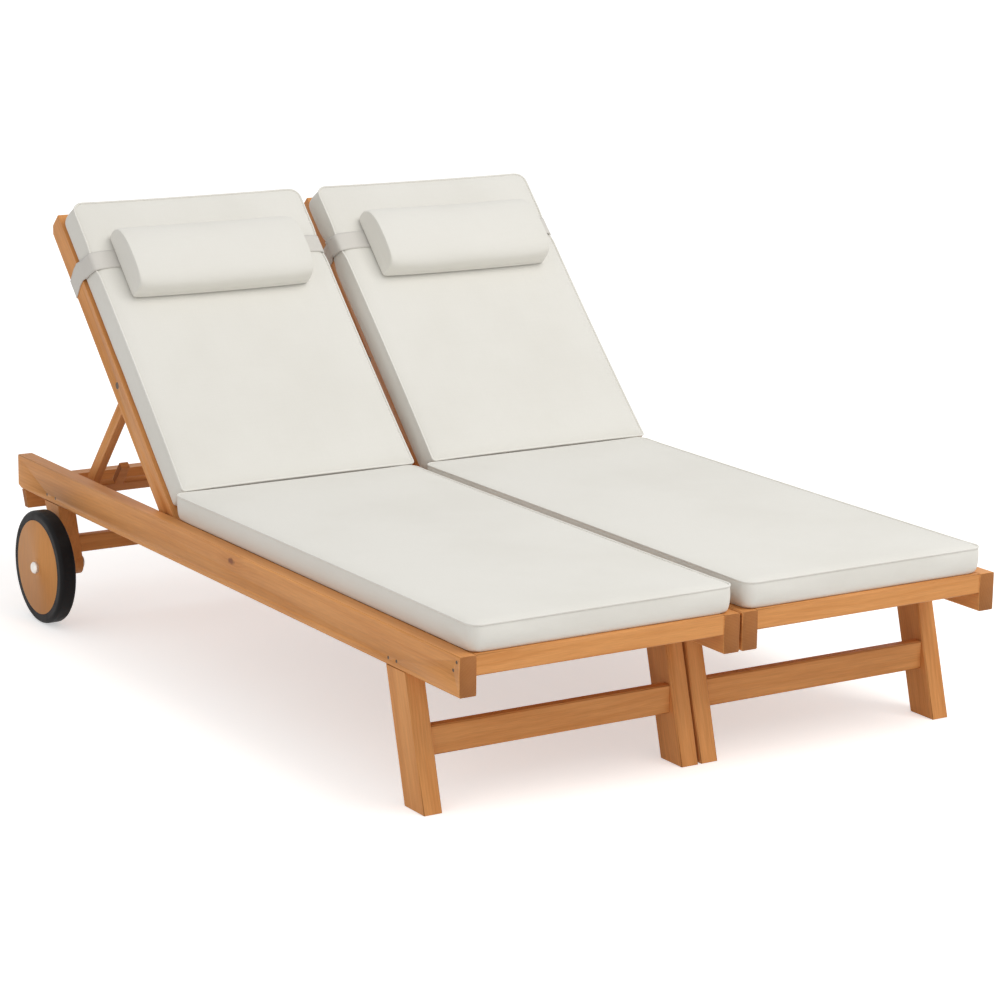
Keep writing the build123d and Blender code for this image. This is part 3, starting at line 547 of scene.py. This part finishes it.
def boxed_cover(name, width, low_y, high_y, band, seed, low_corner=foam_corner, seam=seam_height,
                drawn=free_side, pressed=free_top):
    """A boxed cushion cover as a closed mesh, with the vertices of its top seam."""
    half_x, half_y, middle = width / 2, (high_y - low_y) / 2, (low_y + high_y) / 2
    corners = (low_corner, foam_corner)
    low_steps = edge_steps if low_corner == foam_corner else tight_steps
    columns, rows = graded(half_x), graded(half_y, low_steps)
    flat = [(i, j, *rounded_in(x, y, half_x, half_y, *corners))
            for j, y in enumerate(rows) for i, x in enumerate(columns)]
    points, faces, top, bottom, ways = [], [], {}, {}, {}
    for i, j, x, y in flat:
        gap, ways[i, j] = way_out(x, y, half_x, half_y, *corners)
        x -= side_bow * (1 - (y / half_y) ** 2) * (x / half_x) ** 3
        y -= end_bow * (1 - (x / half_x) ** 2) * (y / half_y) ** 3
        top[i, j] = len(points)
        points.append((x, middle + y, seam + panel_rise(x, y, gap, seed) - pressed(gap, middle + y)))
    floor_height, floor_inset = band[-1]
    for i, j, x, y in flat:
        pulled = drawn(x, middle + y, floor_height, floor_inset)
        x *= 1 + pulled * floor_tuck / half_x
        y *= 1 + floor_inset * floor_tuck / half_y
        bottom[i, j] = len(points)
        points.append((x, middle + y, floor_height / 2))
    last_i, last_j = len(columns) - 1, len(rows) - 1
    for j in range(last_j):
        for i in range(last_i):
            ring = ((i, j), (i + 1, j), (i + 1, j + 1), (i, j + 1))
            faces.append([top[key] for key in ring])
            faces.append([bottom[key] for key in reversed(ring)])
    border = [(i, 0) for i in range(last_i)] + [(last_i, j) for j in range(last_j)]
    border += [(i, last_j) for i in range(last_i, 0, -1)] + [(0, j) for j in range(last_j, 0, -1)]
    rings = [[top[key] for key in border]]
    for height, outset in band:
        rings.append([])
        for key in border:
            x, y, _ = points[top[key]]
            ripple = noise.noise(Vector((x * 16, y * 16, height * 30 + seed))) * band_ripple
            x += ways[key].x * (drawn(x, y, height, outset) + ripple)
            y += ways[key].y * (outset + ripple)
            rings[-1].append(len(points))
            points.append((x, y, height))
    rings.append([bottom[key] for key in border])
    for upper, lower in zip(rings, rings[1:]):
        for here in range(len(border)):
            there = (here + 1) % len(border)
            faces.append([upper[here], lower[here], lower[there], upper[there]])
    piece = mesh_piece(name, points, faces)
    held = piece.vertex_groups.new(name="held")
    held.add(list(bottom.values()), 1.0, "REPLACE")
    held.add(rings[0], seam_hold, "REPLACE")
    return piece, rings[0]


stuffing_pressure, stuffing_frames = 3.0, 20
seat_swell = 0.0022
welt_radius, welt_inset, welt_rise = 0.0023, 0.0002, 0.0010


def stuff(piece, most):
    """Blows the cover up from inside for a moment, as foam does, and keeps what that moved, up to a limit."""
    start = [vertex.co.copy() for vertex in piece.data.vertices]
    cloth = piece.modifiers.new("stuffing", "CLOTH")
    cloth.settings.quality = 4
    cloth.settings.mass = 0.25
    cloth.settings.use_pressure = True
    cloth.settings.uniform_pressure_force = stuffing_pressure
    cloth.settings.effector_weights.gravity = 0
    cloth.settings.vertex_group_mass = "held"
    cloth.settings.tension_stiffness = 25
    cloth.settings.compression_stiffness = 25
    cloth.settings.shear_stiffness = 12
    cloth.settings.bending_stiffness = 2
    for moment in range(1, stuffing_frames + 1):
        scene.frame_set(moment)
    seen = piece.evaluated_get(bpy.context.evaluated_depsgraph_get()).to_mesh()
    moved = [vertex.co.copy() for vertex in seen.vertices]
    piece.modifiers.remove(cloth)
    underside = min(spot.z for spot in start)
    for vertex, old, new in zip(piece.data.vertices, start, moved):
        shift = new - old
        vertex.co = old + shift * min(1, most / max(shift.length, 1e-9))
        vertex.co.z = max(vertex.co.z, underside)
    scene.frame_set(1)


def finish_cloth(piece, material, subdivide=1):
    """Smooths a soft piece and gives it its cloth."""
    piece.data.materials.append(material)
    for face in piece.data.polygons:
        face.use_smooth = True
    if subdivide:
        finer = piece.modifiers.new("finer", "SUBSURF")
        finer.levels = finer.render_levels = subdivide


def welt(name, piece, seam_loop):
    """A thin corded welt that follows a seam of a cover."""
    curve = bpy.data.curves.new(name, "CURVE")
    curve.dimensions = "3D"
    curve.bevel_depth = welt_radius
    curve.bevel_resolution = 3
    line = curve.splines.new("NURBS")
    line.points.add(len(seam_loop) - 1)
    centre = sum((piece.data.vertices[index].co for index in seam_loop), Vector()) / len(seam_loop)
    for point, index in zip(line.points, seam_loop):
        spot = piece.data.vertices[index].co
        inward = (centre - spot) * Vector((1, 1, 0))
        point.co = (*(spot + inward.normalized() * welt_inset + Vector((0, 0, welt_rise))), 1)
    line.order_u = 3
    line.use_cyclic_u = True
    cord = bpy.data.objects.new(name, curve)
    scene.collection.objects.link(cord)
    # The welt gets the lighter canvas, whose extra lightness is a painted highlight.
    cord.data.materials.append(welt_cloth_painted_highlight)
    return cord


seat_front, seat_back, seat_rest = -0.997, 0.2357, 0.3463
for lounger, seed in (("left", 3.1), ("right", 8.6)):
    seat, seam_loop = boxed_cover(f"{lounger}_seat_pad", seat_width, seat_front, seat_back, seat_band, seed)
    stuff(seat, seat_swell)
    seat_welt = welt(f"{lounger}_seat_welt", seat, seam_loop)
    finish_cloth(seat, ecru)
    for piece in (seat, seat_welt):
        piece.matrix_world = Matrix.Translation((seat_centre[lounger], 0, seat_rest))
        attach(piece, "frame")
    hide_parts(f"{lounger}_seat_cushion")

# The back cushions. The same boxed covers, shorter, which lie against the backrest slats and meet
# the seat cushions at the crease. Their lower corners are square, and the pillow strap draws them in.
back_width, back_low, back_high = 0.586, 0.0352, 0.822
back_centre = {"left": -0.3040, "right": 0.3320}
back_seam, back_corner, back_swell = 0.0575, 0.007, 0.0018
back_band = ((0.052, 0.0012), (0.042, 0.0028), (0.031, 0.0046), (0.020, 0.0060), (0.011, 0.0064),
             (0.005, 0.0054), (0.0018, 0.0028), (0.0004, -0.0016))
back_floor = 0.0275
backrest = Matrix.Rotation(tilt, 4, "X")

strap_low, strap_width = 0.634, 0.048
strap_lean, strap_return = 0.013, 0.008
strap_dent, dent_reach, dent_fade = 0.0050, 0.012, 0.010
strap_gap, strap_reach = 0.0034, 0.014
stile_face, stile_gap, edge_gap = 0.2815, 0.0024, 0.0072
stile_back, stile_middle, stile_top = -0.026, 0.008, 0.030
edge_start, top_start = 0.042, 0.086


def ramp(value, low, high):
    """0 below the low value, 1 above the high one, and straight between."""
    return min(max((value - low) / (high - low), 0), 1)


def strap_rise(out):
    """How far up the backrest the strap leans from the cushion's top to the stiles, and back behind them."""
    lean = strap_lean * (1 - ramp(out, stile_top, top_start))
    return lean - strap_return * (1 - ramp(out, stile_back, stile_middle))


def under_strap(along, reach):
    """1 under the strap, falling to 0 beside it."""
    off = max(strap_low - along, along - strap_low - strap_width, 0) / reach
    return math.exp(-off * off)


def pressed_by_strap(gap, along):
    """How far the taut strap presses the edge of the cushion down."""
    return strap_dent * under_strap(along, dent_reach) * math.exp(-gap / dent_fade)


def strap_beside(edge, height):
    """How far out the taut strap runs, beside a cushion whose edge is that far from the middle."""
    share = ramp(height + back_floor, stile_top, edge_start)
    return (stile_face + stile_gap) * (1 - share) + (edge + edge_gap) * share


def drawn_by_strap(shift):
    """Gives the way that the strap draws in the sides of a cushion shifted by that much."""
    def stands_out(x, along, height, outset):
        side = math.copysign(1, x)
        edge = back_width / 2 + side * shift
        share = under_strap(along - strap_rise(height + back_floor), strap_reach)
        return outset * (1 - share) + min(outset, strap_beside(edge, height) - edge - strap_gap) * share
    return stands_out


for lounger, seed in (("left", 5.7), ("right", 1.3)):
    place = Matrix.Translation((back_centre[lounger], hinge.y, hinge.z)) @ backrest
    shift = back_centre[lounger] - lounger_centre[lounger]
    pad, seam_loop = boxed_cover(f"{lounger}_back_pad", back_width, back_low, back_high, back_band, seed,
                                 back_corner, back_seam, drawn_by_strap(shift), pressed_by_strap)
    tied = [vertex.index for vertex in pad.data.vertices if under_strap(vertex.co.y, strap_reach) > 0.3]
    pad.vertex_groups["held"].add(tied, 1.0, "REPLACE")
    stuff(pad, back_swell)
    pad_welt = welt(f"{lounger}_back_welt", pad, seam_loop)
    finish_cloth(pad, ecru)
    for piece in (pad, pad_welt):
        piece.matrix_world = place @ Matrix.Translation((0, 0, back_floor))
        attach(piece, f"{lounger}_backrest")
    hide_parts(f"{lounger}_back_cushion")

# The pillow straps. Bands of elastic webbing, 48 mm wide, sewn to the back of each pillow, that run
# over the back cushion and round both stiles, behind which their ends are fixed.
strap_by_stile = ((0.2535, -0.02825), (stile_face + 0.0006, -0.02825), (stile_face + 0.0013, -0.0265),
                  (stile_face + 0.00125, 0.0), (stile_face + 0.00125, 0.0262),
                  (stile_face + stile_gap, stile_top))
strap_by_edge = ((edge_gap, edge_start), (0.0064, 0.0560), (0.0050, 0.0700), (0.0038, 0.0785),
                 (0.0014, 0.0840), (-0.0036, 0.0870), (-0.0120, 0.0892), (-0.0260, 0.0906),
                 (-0.0500, 0.0914), (-0.1500, 0.0918))
strap_ribs, strap_thick, strap_lift, strap_wave = 9, 0.0017, 0.0013, 0.0012
strap_on_top, ray_start = 0.08, 0.2


def rounded_path(points, times):
    """Cuts the corners of an open path again and again, which rounds them."""
    for _ in range(times):
        cut = [points[0]]
        for here, there in zip(points, points[1:]):
            cut.append(here.lerp(there, 0.25))
            cut.append(here.lerp(there, 0.75))
        points = cut + [points[-1]]
    return points


def strap_side(side, shift):
    """One side of the strap's path, from behind the stile to the middle of the cushion."""
    edge = back_width / 2 + side * shift
    path = [Vector((side * x, 0, out)) for x, out in strap_by_stile]
    return path + [Vector((side * (edge + x), 0, out)) for x, out in strap_by_edge]


def strap_band(name, shift, pad):
    """The webbing as one layer, a little wavy along its edges, laid on the stuffed cushion."""
    path = rounded_path(strap_side(1, shift) + strap_side(-1, shift)[::-1], 2)
    cushion = BVHTree.FromObject(pad, bpy.context.evaluated_depsgraph_get())
    points, faces = [], []
    for spot in path:
        for rib in range(strap_ribs):
            share = rib / (strap_ribs - 1)
            wave = noise.noise(Vector((spot.x * 12, share * 2, 0))) * strap_wave
            along, out = strap_low + strap_width * share + wave + strap_rise(spot.z), spot.z
            under = cushion.ray_cast(Vector((spot.x - shift, along, ray_start)), Vector((0, 0, -1)))[0]
            if under and spot.z > strap_on_top:
                out = max(out, under.z + back_floor + strap_lift)
            points.append((spot.x, along, out))
    for row in range(len(path) - 1):
        for rib in range(strap_ribs - 1):
            first = row * strap_ribs + rib
            faces.append((first, first + 1, first + strap_ribs + 1, first + strap_ribs))
    band = mesh_piece(name, points, faces)
    thick = band.modifiers.new("thick", "SOLIDIFY")
    thick.thickness = strap_thick
    thick.offset = 0
    length = sum((there - here).length for here, there in zip(path, path[1:]))
    return band, length


webbing = woven("elastic_webbing", (0.76, 0.735, 0.69, 1), (0.62, 0.595, 0.55, 1), 0.0016)
for lounger in ("left", "right"):
    shift = back_centre[lounger] - lounger_centre[lounger]
    band, band_length = strap_band(f"{lounger}_strap", shift, scene.objects[f"{lounger}_back_pad"])
    finish_cloth(band, webbing, 0)
    band.matrix_world = Matrix.Translation((lounger_centre[lounger], hinge.y, hinge.z)) @ backrest
    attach(band, f"{lounger}_backrest")
    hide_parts(f"{lounger}_pillow_strap")

# The head pillows. Fibre-filled bolsters of the same canvas: flat behind, square along the low edge
# and rounded over the top, with nearly flat ends and a seam along the low edge.
pillow_low, pillow_height, pillow_thick, pillow_wide = 0.543, 0.176, 0.069, 0.450
pillow_shift, pillow_lift, pillow_swell = 0.009, 0.0952, 0.0025
pillow_centre_out, pillow_droop, pillow_back = 0.42, 0.003, 0.016
pillow_start, pillow_cell, pillow_cells = 0.022, 0.0203, 21
pillow_unevenness, end_bulge = 0.0026, 0.001
pillow_section = [(0.012, 0.0), (0.002, 0.05), (0.0, 0.12), (0.004, 0.165), (0.012, 0.185), (0.004, 0.205),
                  (0.0, 0.25), (0.0, 0.45), (0.006, 0.62), (0.030, 0.76), (0.085, 0.88), (0.17, 0.95),
                  (0.28, 0.99), (0.42, 1.0), (0.56, 0.985), (0.69, 0.94), (0.80, 0.86), (0.89, 0.74),
                  (0.955, 0.58), (0.99, 0.40), (1.0, 0.24), (0.99, 0.10), (0.965, 0.0), (0.80, 0.0),
                  (0.60, 0.0), (0.40, 0.0), (0.20, 0.0)]


def pillow_cover(name, seed):
    """The pillow as a closed mesh: rings of its section along its width, closed by end panels."""
    ring_size = len(pillow_section)
    stations = [(0.0, 0.90), (0.0006, 0.955), (0.002, 0.978), (0.005, 0.990), (0.011, 0.997)]
    inner = [(pillow_start + pillow_cell * step, 1.0) for step in range(pillow_cells)]
    stations += inner + [(pillow_wide - x, scale) for x, scale in reversed(stations)]
    points, faces = [], []
    for x, scale in stations:
        droop = pillow_droop * (1 - abs(2 * x / pillow_wide - 1) ** 2.5)
        for along, out in pillow_section:
            up = pillow_low + pillow_height * (0.5 + (along - 0.5) * scale) - droop * (1 - along)
            off = pillow_thick * (pillow_centre_out + (out - pillow_centre_out) * scale)
            uneven = noise.noise(Vector((x * 8, up * 12, seed))) * pillow_unevenness * min(1, out * 1.4)
            points.append((x - pillow_wide / 2, up, off + uneven * scale))
    for row in range(len(stations) - 1):
        for spot in range(ring_size):
            after = (spot + 1) % ring_size
            first = row * ring_size
            faces.append((first + spot, first + after, first + ring_size + after, first + ring_size + spot))
    end_middle = (pillow_low + pillow_height / 2, pillow_thick * pillow_centre_out)
    for first, x, turn in ((0, -pillow_wide / 2, 1), (len(points) - ring_size, pillow_wide / 2, -1)):
        centre = len(points)
        points.append((x - end_bulge * turn, *end_middle))
        for spot in range(ring_size):
            after = (spot + 1) % ring_size
            faces.append((first + after, first + spot, centre)[::turn])
    pillow = mesh_piece(name, points, faces)
    held = pillow.vertex_groups.new(name="held")
    held.add([index for index, point in enumerate(points) if point[2] < pillow_back], 1.0, "REPLACE")
    return pillow


for lounger, seed in (("left", 2.4), ("right", 7.9)):
    pillow = pillow_cover(f"{lounger}_pillow", seed)
    stuff(pillow, pillow_swell)
    finish_cloth(pillow, ecru, 2)
    lift = Matrix.Translation((pillow_shift, 0, pillow_lift))
    pillow.matrix_world = Matrix.Translation((lounger_centre[lounger], hinge.y, hinge.z)) @ backrest @ lift
    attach(pillow, f"{lounger}_backrest")
    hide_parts(f"{lounger}_head_pillow")
